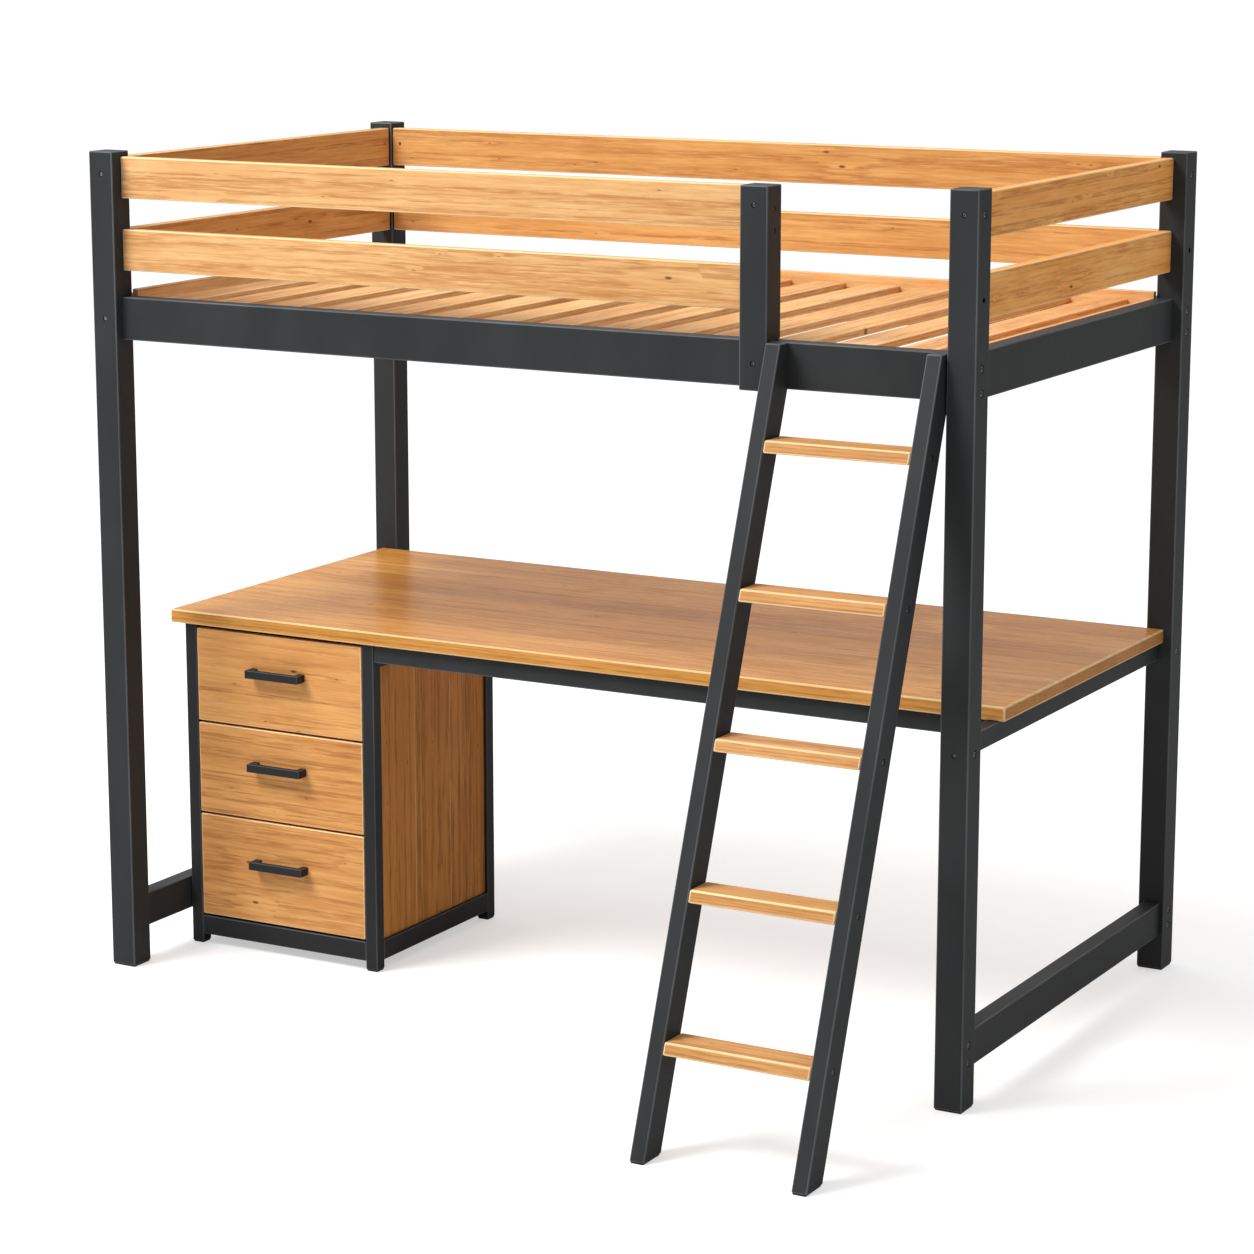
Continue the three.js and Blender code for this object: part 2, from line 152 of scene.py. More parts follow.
def make_wood_figure():
    """The grain of a sawn board, from a vector in metres.

    The vector's X runs along the grain, its Y across the face and its Z through the board.
    """
    group = bpy.data.node_groups.new("wood_figure", "ShaderNodeTree")
    group.interface.new_socket("Vector", in_out="INPUT", socket_type="NodeSocketVector")
    for name in ("Growth", "Fibre", "Streak", "Patch", "Pore", "Knot"):
        group.interface.new_socket(name, in_out="OUTPUT", socket_type="NodeSocketFloat")
    recipe = Recipe(group)
    vector = group.nodes.new("NodeGroupInput").outputs[0]
    result = group.nodes.new("NodeGroupOutput")

    # knots, and the swelling of the rings round them
    reach, draws = recipe.cells(vector, KNOTS)
    size = recipe.spread(draws[0], 0.7, 1.0)
    knot = recipe.math("MULTIPLY", recipe.spread(reach, 0.035, 0.012), recipe.spread(size, 0.1, 0.4))
    swell = recipe.math("MULTIPLY", recipe.spread(reach, 0.4, 0.0, 0.0, 0.0055), size)
    reach, draws = recipe.cells(vector, PIN_KNOTS)
    few = recipe.spread(draws[1], 0.6, 0.85)
    pin = recipe.math("MULTIPLY", recipe.spread(reach, 0.042, 0.016), few)
    pin_swell = recipe.math("MULTIPLY", recipe.spread(reach, 0.34, 0.0, 0.0, 0.003), few)
    swell = recipe.math("ADD", swell, pin_swell)
    knot = recipe.math("MAXIMUM", knot, recipe.math("MULTIPLY", pin, 0.8))

    # growth rings about a pith that lies under the face and wanders
    wander = recipe.noise(vector, (1.3, 4, 4), 2.0)
    ripple = recipe.noise(vector, (6, 22, 22), 2.0)
    uneven = recipe.noise(vector, (0.6, 70, 70), 1.0)
    parts = recipe.add("SeparateXYZ", {0: vector})
    sideways = recipe.math("MULTIPLY_ADD", wander, 0.11, parts.outputs[1])
    sideways = recipe.math("MULTIPLY_ADD", ripple, 0.016, sideways)
    depth = recipe.math("ADD", parts.outputs[2], PITH_DEPTH)
    squares = recipe.math("ADD", recipe.math("POWER", sideways, 2.0), recipe.math("POWER", depth, 2.0))
    radius = recipe.math("ADD", recipe.math("SQRT", squares), swell)
    radius = recipe.math("MULTIPLY_ADD", uneven, 0.014, radius)
    ring = recipe.math("FRACT", recipe.math("DIVIDE", radius, RING_PITCH))
    growth = recipe.math("MULTIPLY", recipe.spread(ring, 0.35, 0.9), recipe.spread(ring, 1.0, 0.93))

    outputs = {
        "Growth": growth,
        "Fibre": recipe.noise(vector, (13, 250, 250), 3.0, 0.65),
        "Streak": recipe.noise(vector, (3.4, 52, 52), 3.0, 0.6),
        "Patch": recipe.noise(vector, (3.2, 9, 9), 2.0),
        "Pore": recipe.spread(recipe.noise(vector, (26, 620, 620), 1.0), 0.68, 0.78),
        "Knot": knot,
    }
    for name, value in outputs.items():
        group.links.new(value, result.inputs[name])
    return group


WOOD_FIGURE = make_wood_figure()

# ---- woods: the colours of their body, of their late growth and of their knots, and their finish ----
PINE = {
    "pale": tone(236, 190, 134),
    "middle": tone(220, 168, 110),
    "deep": tone(198, 138, 80),
    "late": tone(168, 102, 50),
    "knot": tone(100, 54, 25),
    "rough": 0.5,
    "sheen": 0.14,
}
HONEY = {
    "pale": tone(226, 176, 112),
    "middle": tone(210, 154, 92),
    "deep": tone(188, 126, 68),
    "late": tone(156, 92, 44),
    "knot": tone(90, 46, 21),
    "rough": 0.48,
    "sheen": 0.12,
}
# a deeper, more saturated copy of the pine; on the right guard rails it paints the warm shade of their
# outer faces
AMBER = {
    "pale": tone(250, 188, 108),
    "middle": tone(242, 168, 88),
    "deep": tone(222, 142, 64),
    "late": tone(172, 96, 36),
    "knot": tone(92, 46, 19),
    "rough": 0.48,
    "sheen": 0.08,
}
# a deeper, more saturated copy of the pine; on the drawer fronts it paints part of the shade under the bed
TAN = {
    "pale": tone(230, 171, 104),
    "middle": tone(213, 150, 88),
    "deep": tone(192, 128, 69),
    "late": tone(153, 92, 43),
    "knot": tone(84, 44, 21),
    "rough": 0.46,
    "sheen": 0.12,
}
CLEAR = {
    "pale": tone(222, 168, 109),
    "middle": tone(203, 148, 90),
    "deep": tone(182, 124, 68),
    "late": tone(150, 90, 43),
    "knot": tone(84, 44, 21),
    "rough": 0.42,
    "sheen": 0.16,
}
OILED = {
    "pale": tone(217, 157, 84),
    "middle": tone(202, 141, 68),
    "deep": tone(179, 117, 50),
    "late": tone(144, 85, 33),
    "knot": tone(88, 46, 23),
    "rough": 0.3,
    "sheen": 0.1,
}
UMBER = {
    "pale": tone(210, 145, 74),
    "middle": tone(192, 127, 60),
    "deep": tone(168, 106, 46),
    "late": tone(127, 74, 30),
    "knot": tone(62, 34, 15),
    "rough": 0.5,
    "sheen": 0.1,
}
BIRCH = {
    "pale": tone(240, 216, 172),
    "middle": tone(232, 204, 156),
    "deep": tone(218, 186, 136),
    "late": tone(196, 158, 108),
    "knot": tone(140, 96, 56),
    "rough": 0.55,
    "sheen": 0.2,
}

# pale tone laid on the rounded edges of the wood as a painted highlight
WOOD_EDGE_HIGHLIGHT = tone(255, 224, 172)
GOLDEN = 0.6180339887
# each board's place in the log: the steps from board to board, and the scatter about them
LOG_STEP, DEPTH_STEP = 7.3, 2.0
ACROSS_SCATTER, DEPTH_SCATTER = 0.09, 0.05
# how much each part of the figure darkens the wood, and the level that it swings about
STREAK_SHARE, STREAK_LEVEL = 0.7, 0.05
PATCH_SHARE, PATCH_LEVEL = 0.6, 0.27
FIBRE_SHARE, FIBRE_LEVEL = 0.8, 0.35
STAVE_SHARE, STAVE_LEVEL = 0.3, 0.15
# what the figure adds to the roughness and to the relief
FIBRE_ROUGH, PATCH_ROUGH, SAWN_ROUGH = 0.16, 0.1, 0.15
RING_RELIEF, FIBRE_RELIEF, PORE_RELIEF, JOINT_RELIEF = -0.35, 0.6, -0.5, -1.5
# how strongly these are laid over the body of the wood
PORE_SHARE, KNOT_SHARE, SAWN_SHARE, JOINT_SHARE, PLY_SHARE = 0.35, 0.85, 0.4, 0.55, 0.55
PLY = 0.00133


def turned(recipe, grain, face, middle, number):
    """Object coordinates with X along the grain and Z out of the face.

    The board's number gives it its own place in the log.
    """
    across = face.cross(grain)
    turn = Matrix((grain, across, face))
    share = (number * GOLDEN) % 1
    other = (number * GOLDEN * GOLDEN) % 1
    sideways = ACROSS_SCATTER * (share - 0.5)
    deep = DEPTH_SCATTER * other + DEPTH_STEP * number
    start = Vector((LOG_STEP * number, sideways, deep))
    where = recipe.add("TexCoord").outputs["Object"]
    inputs = {"Vector": where, "Location": start - turn @ middle, "Rotation": turn.to_euler()}
    return recipe.add("Mapping", inputs, vector_type="POINT").outputs[0]


def staves(recipe, vector, width):
    """Cuts a board into glued staves, each with its own grain.

    Returns the shifted vector, the fine line of the glue joint and the stave's own draw.
    """
    parts = recipe.add("SeparateXYZ", {0: vector})
    place = recipe.math("DIVIDE", parts.outputs[1], width)
    index = recipe.math("FLOOR", place)
    own = recipe.add("TexWhiteNoise", {"W": index}, noise_dimensions="1D").outputs["Color"]
    shift = recipe.stretch(own, (5, 0.2, 0.03))
    moved = recipe.add("VectorMath", {0: vector, 1: shift}, operation="ADD").outputs[0]
    edge = recipe.math("ABSOLUTE", recipe.math("SUBTRACT", recipe.math("FRACT", place), 0.5))
    return moved, recipe.spread(edge, 0.494, 0.499), recipe.add("SeparateColor", {0: own}).outputs[0]


def ply_stripe(recipe, face, middle):
    """Every other ply of a wall, as stripes through its thickness."""
    where = recipe.add("TexCoord").outputs["Object"]
    through = recipe.add("VectorMath", {0: where, 1: face}, operation="DOT_PRODUCT").outputs["Value"]
    layer = recipe.math("DIVIDE", recipe.math("SUBTRACT", through, middle.dot(face)), 2 * PLY)
    stripe = recipe.math("ABSOLUTE", recipe.math("SUBTRACT", recipe.math("FRACT", layer), 0.5))
    return recipe.spread(stripe, 0.3, 0.2, 0.0, PLY_SHARE)


def new_material(name):
    """An empty material, the recipe that fills it and its shader."""
    material = bpy.data.materials.new(name)
    material.use_nodes = True
    return material, Recipe(material.node_tree), material.node_tree.nodes["Principled BSDF"]


def surface(recipe, shader, colour, rough, relief, strength, depth):
    """Gives the shader its colour, its roughness and a relief of so many metres."""
    recipe.feed(shader.inputs["Base Color"], colour)
    recipe.feed(shader.inputs["Roughness"], rough)
    bump = recipe.add("Bump", {"Strength": strength, "Distance": depth, "Height": relief})
    recipe.feed(shader.inputs["Normal"], bump.outputs[0])


def wood(name, species, grain, face, middle, number, stave=None, plies=False):
    """Wood of one board, of glued staves so many metres wide, or of plies."""
    material, recipe, shader = new_material(name)
    vector = turned(recipe, grain, face, middle, number)
    if stave:
        vector, joint, own = staves(recipe, vector, stave)
    figure = recipe.add("Group", node_tree=WOOD_FIGURE)
    recipe.feed(figure.inputs[0], vector)
    growth, fibre, streak, patch, pore, knot = (figure.outputs[i] for i in range(6))

    body = recipe.math("MULTIPLY_ADD", streak, STREAK_SHARE, -STREAK_LEVEL)
    body = recipe.math("MULTIPLY_ADD", patch, PATCH_SHARE, recipe.math("SUBTRACT", body, PATCH_LEVEL))
    body = recipe.math("MULTIPLY_ADD", fibre, FIBRE_SHARE, recipe.math("SUBTRACT", body, FIBRE_LEVEL))
    if stave:
        body = recipe.math("MULTIPLY_ADD", own, STAVE_SHARE, recipe.math("SUBTRACT", body, STAVE_LEVEL))
    stops = [(0.12, species["pale"]), (0.42, species["middle"]), (0.85, species["deep"])]
    colour = recipe.ramp(body, stops)
    line = recipe.math("MULTIPLY", growth, recipe.spread(fibre, 0.3, 0.65, 0.06, 0.55))
    colour = recipe.blend(line, colour, species["late"])
    colour = recipe.blend(recipe.math("MULTIPLY", pore, PORE_SHARE), colour, species["late"])
    colour = recipe.blend(recipe.math("MULTIPLY", knot, KNOT_SHARE), colour, species["knot"])
    # painted highlight: the rounded edges are blended towards a pale tone, more along some streaks than
    # others
    highlight_share = recipe.spread(streak, 0.3, 0.7, 0.45, 0.8)
    edge_highlight = recipe.math("MULTIPLY", recipe.attribute("arris"), highlight_share)
    colour = recipe.blend(edge_highlight, colour, WOOD_EDGE_HIGHLIGHT)
    sawn = recipe.math("MULTIPLY", recipe.attribute("end_grain"), SAWN_SHARE)
    colour = recipe.blend(sawn, colour, species["late"])
    if stave:
        colour = recipe.blend(recipe.math("MULTIPLY", joint, JOINT_SHARE), colour, species["knot"])
    if plies:
        colour = recipe.blend(ply_stripe(recipe, face, middle), colour, species["late"])

    rough = recipe.math("MULTIPLY_ADD", fibre, FIBRE_ROUGH, species["rough"] - FIBRE_ROUGH / 2)
    rough = recipe.math("SUBTRACT", rough, PATCH_ROUGH / 2)
    rough = recipe.math("MULTIPLY_ADD", patch, PATCH_ROUGH, rough)
    rough = recipe.math("MULTIPLY_ADD", recipe.attribute("end_grain"), SAWN_ROUGH, rough)
    shader.inputs["Specular IOR Level"].default_value = species["sheen"]
    relief = recipe.math("MULTIPLY", fibre, FIBRE_RELIEF)
    relief = recipe.math("MULTIPLY_ADD", growth, RING_RELIEF, relief)
    relief = recipe.math("MULTIPLY_ADD", pore, PORE_RELIEF, relief)
    if stave:
        relief = recipe.math("MULTIPLY_ADD", joint, JOINT_RELIEF, relief)
    surface(recipe, shader, colour, rough, relief, strength=0.5, depth=0.00025)
    return material


# the darkest shade of the cloudy paint and of the dulled metal, as shares of their colour
CLOUD_SHADE, DULL_SHADE = 0.8, 0.55


def paint(name, colour, edge_highlight_tone, rough, peel, sheen):
    """Satin paint with a fine orange peel, cloudy gloss and a painted highlight: its rounded edges are
    painted a lighter tone.
    """
    material, recipe, shader = new_material(name)
    vector = recipe.add("TexCoord").outputs["Object"]
    cloud = recipe.noise(vector, (7, 7, 3), 3.0)
    fine = recipe.noise(vector, (peel, peel, peel), 2.0)
    speck = recipe.noise(vector, (160, 160, 60), 2.0)
    shade = [part * CLOUD_SHADE for part in colour[:3]] + [1]
    base = recipe.blend(recipe.spread(cloud, 0.3, 0.7), shade, colour)
    # painted highlight: the rounded edges are blended towards the lighter edge tone, more under some clouds
    # than others
    highlight_share = recipe.spread(cloud, 0.2, 0.8, 0.25, 0.6)
    edge_highlight = recipe.math("MULTIPLY", recipe.attribute("arris"), highlight_share)
    base = recipe.blend(edge_highlight, base, edge_highlight_tone)
    gloss = recipe.math("MULTIPLY_ADD", cloud, 0.14, rough - 0.1)
    gloss = recipe.math("MULTIPLY_ADD", speck, 0.08, gloss)
    shader.inputs["Specular IOR Level"].default_value = sheen
    relief = recipe.math("MULTIPLY_ADD", speck, 0.5, fine)
    surface(recipe, shader, base, gloss, relief, strength=0.35, depth=0.00012)
    return material


def metal(name, colour, rough):
    """Turned and plated steel, with dulled patches and a fine tooth."""
    material, recipe, shader = new_material(name)
    vector = recipe.add("TexCoord").outputs["Object"]
    patch = recipe.noise(vector, (240, 240, 240), 3.0)
    fine = recipe.noise(vector, (1800, 1800, 1800), 2.0)
    dull = [part * DULL_SHADE for part in colour[:3]] + [1]
    base = recipe.blend(recipe.spread(patch, 0.35, 0.65), dull, colour)
    shader.inputs["Metallic"].default_value = 1.0
    gloss = recipe.math("MULTIPLY_ADD", patch, 0.2, rough - 0.1)
    surface(recipe, shader, base, gloss, fine, strength=0.3, depth=0.00005)
    return material


# each paint's second, lighter tone is the painted highlight on its rounded edges
FRAME_PAINT = paint(
    "charcoal_paint", tone(52, 54, 55), edge_highlight_tone=tone(120, 123, 126), rough=0.5, peel=900, sheen=0.12
)
STEEL_PAINT = paint(
    "black_powder_coat", tone(42, 43, 45), edge_highlight_tone=tone(104, 107, 111), rough=0.48, peel=1500, sheen=0.16
)
PAD_RUBBER = paint("glide_rubber", tone(24, 24, 25), edge_highlight_tone=tone(40, 40, 40), rough=0.75, peel=700, sheen=0.2)
BLACK_BOLT = metal("black_bolt_steel", tone(122, 122, 124), rough=0.34)
ZINC_BOLT = metal("zinc_bolt_steel", tone(176, 174, 170), rough=0.32)
BRASS = metal("brass_dowel", tone(190, 158, 104), rough=0.36)


# ---- shaping ----
SQUARE_ON = 0.9  # the least cosine between a direction and a face that looks along it
CREASE = 0.6  # the least angle of an edge that stays sharp
BORE_SIDES = 20


def new_shape():
    """An empty shape whose faces can be marked as rounded arris, where the painted edge highlight goes, or
    as end grain.
    """
    shape = bmesh.new()
    shape.faces.layers.float.new("arris")
    shape.faces.layers.float.new("end_grain")
    return shape


def add_block(shape, low, high):
    place = Matrix.Translation((low + high) / 2) @ Matrix.Diagonal((*(high - low), 1))
    verts = bmesh.ops.create_cube(shape, size=1, matrix=place)["verts"]
    return list({edge for vert in verts for edge in vert.link_edges})


def add_bar(shape, profile, start, end):
    """A bar whose (y, z) profile runs along X from start to end."""
    corners = [shape.verts.new((start, y, z)) for y, z in profile]
    cap = shape.faces.new(corners)
    made = bmesh.ops.extrude_face_region(shape, geom=[cap])["geom"]
    far = [part for part in made if isinstance(part, bmesh.types.BMVert)]
    bmesh.ops.translate(shape, verts=far, vec=(end - start, 0, 0))
    bmesh.ops.recalc_face_normals(shape, faces=shape.faces[:])
    return list({edge for vert in corners + far for edge in vert.link_edges})


def round_over(shape, edges, radius, segments=3):
    made = bmesh.ops.bevel(
        shape,
        geom=edges,
        offset=radius,
        offset_type="OFFSET",
        segments=segments,
        profile=0.5,
        affect="EDGES",
        material=-1,
    )
    arris = shape.faces.layers.float["arris"]
    for face in made["faces"]:
        face.smooth = True
        face[arris] = 1


def mark_ends(shape, grain):
    """Marks the flat faces that the saw cut across the grain."""
    arris = shape.faces.layers.float["arris"]
    sawn = shape.faces.layers.float["end_grain"]
    for face in shape.faces:
        if not face[arris] and abs(face.normal.dot(grain)) > SQUARE_ON:
            face[sawn] = 1


def facing(direction):
    return direction.to_track_quat("Z", "Y").to_matrix().to_4x4()


def drill(shape, direction, centres, radius, depth):
    """Sinks round counterbores into the flat face that looks along direction."""
    shape.faces.ensure_lookup_table()
    flats = [face for face in shape.faces if face.normal.dot(direction) > SQUARE_ON]
    face = max(flats, key=lambda flat: flat.calc_area())
    rims = []
    border = list(face.edges)
    bmesh.ops.delete(shape, geom=[face], context="FACES_ONLY")
    for centre in centres:
        place = Matrix.Translation(centre) @ facing(direction)
        verts = bmesh.ops.create_circle(shape, segments=BORE_SIDES, radius=radius, matrix=place)["verts"]
        rims.append(list({edge for vert in verts for edge in vert.link_edges}))
    outline = border + [edge for rim in rims for edge in rim]
    bmesh.ops.triangle_fill(shape, use_beauty=True, edges=outline, normal=direction)
    for rim in rims:
        made = bmesh.ops.extrude_edge_only(shape, edges=rim)["geom"]
        verts = [part for part in made if isinstance(part, bmesh.types.BMVert)]
        edges = [part for part in made if isinstance(part, bmesh.types.BMEdge)]
        bmesh.ops.translate(shape, verts=verts, vec=-depth * direction)
        bmesh.ops.contextual_create(shape, geom=edges)
    bmesh.ops.recalc_face_normals(shape, faces=shape.faces[:])


def mesh_of(name, shape):
    mesh = bpy.data.meshes.new(name)
    shape.to_mesh(mesh)
    shape.free()
    return mesh


def piece(name, shape, body, material, stands_for=()):
    mesh = mesh_of(name, shape)
    mesh.materials.append(material)
    made = bpy.data.objects.new(name, mesh)
    scene.collection.objects.link(made)
    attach(made, body)
    if stands_for:
        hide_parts(*stands_for)


# ---- hardware shapes, each made once and set in many places ----
BOLT_SIDES, SCREW_SIDES = 24, 20
# shares of a head's radius or rise
BOLT_TAPER, BOLT_DOME, SOCKET_LEAD, SOCKET_SINK = 0.94, 0.55, 1.08, 0.6
SCREW_TAPER, SCREW_RIM, CROSS_WAIST, CROSS_SINK = 0.8, 0.25, 0.32, 0.5


def button_head(radius, rise, socket):
    """A domed bolt head with a hexagon socket, standing on the XY plane."""
    shape = bmesh.new()
    place = Matrix.Translation((0, 0, rise / 2))
    bmesh.ops.create_cone(
        shape, cap_ends=True, segments=BOLT_SIDES,
        radius1=radius, radius2=radius * BOLT_TAPER, depth=rise, matrix=place,
    )
    rim = [edge for edge in shape.edges if all(vert.co.z > rise * 0.9 for vert in edge.verts)]
    bmesh.ops.bevel(
        shape, geom=rim, offset=rise * BOLT_DOME, segments=4, profile=0.5, affect="EDGES", material=-1
    )
    shape.faces.ensure_lookup_table()
    top = max(shape.faces, key=lambda face: face.calc_center_median().z)
    reach = max(math.hypot(vert.co.x, vert.co.y) for vert in top.verts)
    bmesh.ops.inset_region(shape, faces=[top], thickness=reach - socket * SOCKET_LEAD, depth=0)
    sixth = math.pi / 3
    for vert in top.verts:
        angle = math.atan2(vert.co.y, vert.co.x) % sixth - sixth / 2
        wide = socket * math.cos(sixth / 2) / math.cos(angle)
        length = math.hypot(vert.co.x, vert.co.y)
        vert.co.x *= wide / length
        vert.co.y *= wide / length
    walls = bmesh.ops.extrude_discrete_faces(shape, faces=[top])["faces"]
    bmesh.ops.translate(shape, verts=list(walls[0].verts), vec=(0, 0, -rise * SOCKET_SINK))
    for face in shape.faces:
        face.smooth = True
    for edge in shape.edges:
        if len(edge.link_faces) == 2 and edge.calc_face_angle() > CREASE:
            edge.smooth = False
    return mesh_of("button_head", shape)


def cross_head(radius, rise):
    """A low screw head with a cross recess, standing on the XY plane."""
    shape = bmesh.new()
    place = Matrix.Translation((0, 0, rise / 2))
    bmesh.ops.create_cone(
        shape, cap_ends=True, segments=SCREW_SIDES,
        radius1=radius, radius2=radius * SCREW_TAPER, depth=rise, matrix=place,
    )
    shape.faces.ensure_lookup_table()
    top = max(shape.faces, key=lambda face: face.calc_center_median().z)
    bmesh.ops.inset_region(shape, faces=[top], thickness=radius * SCREW_RIM, depth=0)
    for i, vert in enumerate(top.verts):
        arm = 1.0 if i % 5 in (0, 1) else CROSS_WAIST
        vert.co.x *= arm
        vert.co.y *= arm
    walls = bmesh.ops.extrude_discrete_faces(shape, faces=[top])["faces"]
    bmesh.ops.translate(shape, verts=list(walls[0].verts), vec=(0, 0, -rise * CROSS_SINK))
    return mesh_of("cross_head", shape)


BIG_BORE, SIDE_BORE, SMALL_BORE = 0.0080, 0.0066, 0.0054
BORE_DEPTH = 0.0042
BIG_BOLT = button_head(radius=0.0069, rise=0.0038, socket=0.0031)
SIDE_BOLT = button_head(radius=0.0057, rise=0.0034, socket=0.0026)
SMALL_BOLT = button_head(radius=0.0046, rise=0.0030, socket=0.0021)
SCREW = cross_head(radius=0.0038, rise=0.0014)


def set_many(name, mesh, places, material, body="bed", sunk=0.0):
    """One steel piece that holds a copy of the mesh at each (point, direction)."""
    shape = bmesh.new()
    for point, direction in places:
        before = len(shape.verts)
        shape.from_mesh(mesh)
        shape.verts.ensure_lookup_table()
        place = Matrix.Translation(point - sunk * direction) @ facing(direction)
        bmesh.ops.transform(shape, matrix=place, verts=shape.verts[before:])
    piece(name, shape, body, material)


# ---- boards that stand for the CAD boards ----
BOARD_ARRIS = 0.0026
TREAD_ARRIS = 0.0034
DESK_ARRIS = 0.0036
DRAWER_ARRIS = 0.0024
FINE_ARRIS = 0.0012
PANEL_ARRIS = 0.0006
PLY_ARRIS = 0.0003
SEAM = 0.0003
numbers = itertools.count(1)


def painted_board(name, node, bores=(), foot=0.0):
    """A painted board in the box of its CAD board; its foot leaves room for a glide."""
    low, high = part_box(node)
    shape = new_shape()
    edges = add_block(shape, low + foot * Z, high)
    round_over(shape, edges, BOARD_ARRIS)
    for direction, centres, radius in bores:
        drill(shape, direction, centres, radius, BORE_DEPTH)
    piece(name, shape, "bed", FRAME_PAINT, [node])


def wooden_board(
    name, low, high, grain, face, species,
    slot="light_wood", body="bed", arris=BOARD_ARRIS, stands_for=(), stave=None,
):
    shape = new_shape()
    round_over(shape, add_block(shape, low, high), arris)
    mark_ends(shape, grain)
    material = wood(name + "_wood", species, grain, face, (low + high) / 2, next(numbers), stave)
    piece(name, shape, body, material, stands_for)


def board_for(node, name, grain, face, species, **finish):
    """A wooden board that fills the box of its CAD board and stands for it."""
    wooden_board(name, *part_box(node), grain, face, species, stands_for=[node], **finish)


# ---- glides: rubber pads under posts, stringers and cage legs ----
GLIDE = 0.003
GLIDE_INSET = 0.0022
PAD_ARRIS = 0.0008


def add_pad(shape, low, high):
    round_over(shape, add_block(shape, low, high), PAD_ARRIS, 2)


def glide(name, low, high):
    shape = new_shape()
    add_pad(shape, low, high)
    piece(name, shape, "bed", PAD_RUBBER)


# ---- posts, with their bolts and glides ----
# heights of the bolts above the floor
GUARD_BOLT = 1.752
LOWER_GUARD_BOLT = 1.592
RAIL_BOLTS = (1.462, 1.416)
APRON_BOLT = 0.718
STRETCHER_BOLTS = (0.133, 0.097)
FRONT_RAIL_BOLT = 1.444
# bolts in the front or rear face of each post
FACE_BOLTS = {
    "front_left": ((GUARD_BOLT, FRONT_RAIL_BOLT), ZINC_BOLT),
    "front_right": ((GUARD_BOLT, APRON_BOLT), BLACK_BOLT),
    "rear_left": ((GUARD_BOLT, FRONT_RAIL_BOLT), BLACK_BOLT),
    "rear_right": ((GUARD_BOLT, FRONT_RAIL_BOLT), BLACK_BOLT),
}


def corner_post(depth_name, end_name):
    """A post, bolted through its outer side and through its front or rear face, on a glide."""
    node = f"post_{depth_name}_{end_name}"
    name = f"{depth_name}_{end_name}_post"
    low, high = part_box(node)
    middle = (low + high) / 2
    outward = X if end_name == "right" else -X
    ahead = -Y if depth_name == "front" else Y
    side = Vector((high.x if end_name == "right" else low.x, middle.y, 0))
    ahead_face = Vector((middle.x, low.y if depth_name == "front" else high.y, 0))
    side_big = [side + z * Z for z in (GUARD_BOLT, *RAIL_BOLTS, APRON_BOLT, *STRETCHER_BOLTS)]
    side_small = [side + LOWER_GUARD_BOLT * Z]
    face_heights, face_metal = FACE_BOLTS[f"{depth_name}_{end_name}"]
    face_small = [ahead_face + z * Z for z in face_heights]
    rows = (
        ("side_bolts", outward, side_big, BIG_BORE, BIG_BOLT, BLACK_BOLT),
        ("guard_bolt", outward, side_small, SMALL_BORE, SMALL_BOLT, BLACK_BOLT),
        ("face_bolts", ahead, face_small, SMALL_BORE, SMALL_BOLT, face_metal),
    )
    painted_board(name, node, [row[1:4] for row in rows], foot=GLIDE)
    for part, direction, points, _, bolt, finish in rows:
        set_many(f"{name}_{part}", bolt, [(p, direction) for p in points], finish, sunk=BORE_DEPTH)
    inset = Vector((GLIDE_INSET, GLIDE_INSET, 0))
    glide(f"{name}_glide", low + inset, Vector((high.x, high.y, GLIDE)) - inset)


for depth_name in ("front", "rear"):
    for end_name in ("left", "right"):
        corner_post(depth_name, end_name)

# ---- rails, stretchers and aprons ----
for name, node in (
    ("front_side_rail", "side_rail_front"),
    ("rear_side_rail", "side_rail_rear"),
    ("left_end_rail", "end_rail_left"),
    ("right_end_rail", "end_rail_right"),
    ("left_stretcher", "stretcher_left"),
    ("right_stretcher", "stretcher_right"),
    ("front_apron", "desk_apron_front"),
    ("rear_apron", "desk_apron_rear"),
    ("right_apron", "desk_apron_right"),
):
    painted_board(name, node)

# ---- guard rails ----
for tier in ("upper", "lower"):
    for depth_name, species in (("front", PINE), ("rear", HONEY)):
        board_for(f"guard_rail_{depth_name}_{tier}", f"{depth_name}_{tier}_guard", X, -Y, species)
    # the end rails are the same boards as the front ones: the left take the darker HONEY and the right the
    # more saturated AMBER, as painted shade on the faces turned from the key light
    for end_name, species in (("left", HONEY), ("right", AMBER)):
        board_for(f"guard_rail_{end_name}_{tier}", f"{end_name}_{tier}_guard", Y, X, species)

# ---- screws through the guard rails into the rear left post ----
SCREW_INSET = 0.02
left_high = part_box("guard_rail_left_upper")[1]
back_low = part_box("guard_rail_rear_upper")[0]
guard_screws = [
    (Vector((left_high.x, left_high.y - SCREW_INSET, GUARD_BOLT)), X),
    (Vector((back_low.x + SCREW_INSET, back_low.y, GUARD_BOLT)), -Y),
]
set_many("guard_rail_screws", SCREW, guard_screws, BRASS)

# ---- slats, liners and ledgers ----
SLATS = 14
LINER_THICK = 0.016
for i in range(1, SLATS + 1):
    board_for(f"slat_{i:02d}", f"bed_slat_{i:02d}", Y, Z, PINE)
for end_name, face in (("left", X), ("right", -X)):
    board_for(f"liner_{end_name}", f"{end_name}_liner", Y, face, PINE, arris=FINE_ARRIS)
board_for("slat_ledger_front", "front_ledger", X, Y, HONEY, arris=FINE_ARRIS)
